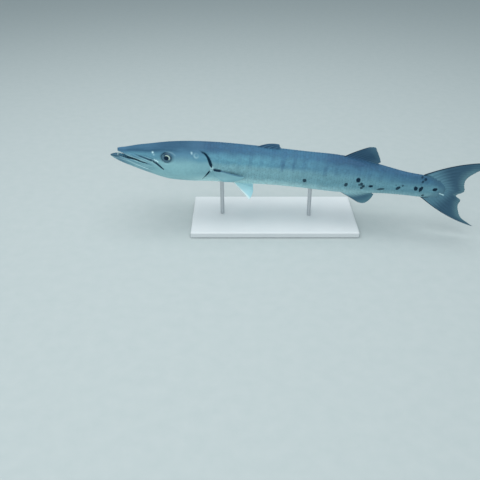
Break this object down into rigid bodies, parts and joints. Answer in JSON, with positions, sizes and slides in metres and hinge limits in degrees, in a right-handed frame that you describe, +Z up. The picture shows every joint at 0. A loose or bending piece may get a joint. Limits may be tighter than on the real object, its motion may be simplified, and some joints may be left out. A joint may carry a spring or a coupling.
{
  "type": "great barracuda display model",
  "caption": "Still life-size great barracuda swimming with a slight bend of the body, jaws a little open, held over a flat display base by short rods",
  "frame": {"origin": "centre of the underside of the display stand's base", "axes": "+Z up, head towards -X, tail towards +X, the fish's left side towards -Y"},
  "size_m": [1.0997, 0.25, 0.2526],
  "materials": {
    "skin_head": "silvery blue fish skin, smooth and slightly wet",
    "skin_body": "silvery scaled skin, steel blue above and pale below",
    "fin_dark": "dusky fin membrane over rays, paler at the tips",
    "fin_pale": "pale translucent fin membrane over rays",
    "eye": "dark glossy eye with a pale gold iris",
    "teeth": "whitish enamel",
    "stand_base": "plain pale painted base with eased edges",
    "stand_rod": "brushed steel rod"
  },
  "bodies": {
    "root": {"head": "skin_head", "lower_jaw": "skin_head", "torso": "skin_body", "tail_stem": "skin_body", "tail_fin_upper": "fin_dark", "tail_fin_lower": "fin_dark", "first_dorsal_fin": "fin_dark", "second_dorsal_fin": "fin_dark", "anal_fin": "fin_dark", "pectoral_fin_left": "fin_pale", "pectoral_fin_right": "fin_pale", "pelvic_fin_left": "fin_pale", "pelvic_fin_right": "fin_pale", "eye_left": "eye", "eye_right": "eye", "stand_base": "stand_base", "stand_rod_front": "stand_rod", "stand_rod_rear": "stand_rod"}
  },
  "joints": []
}
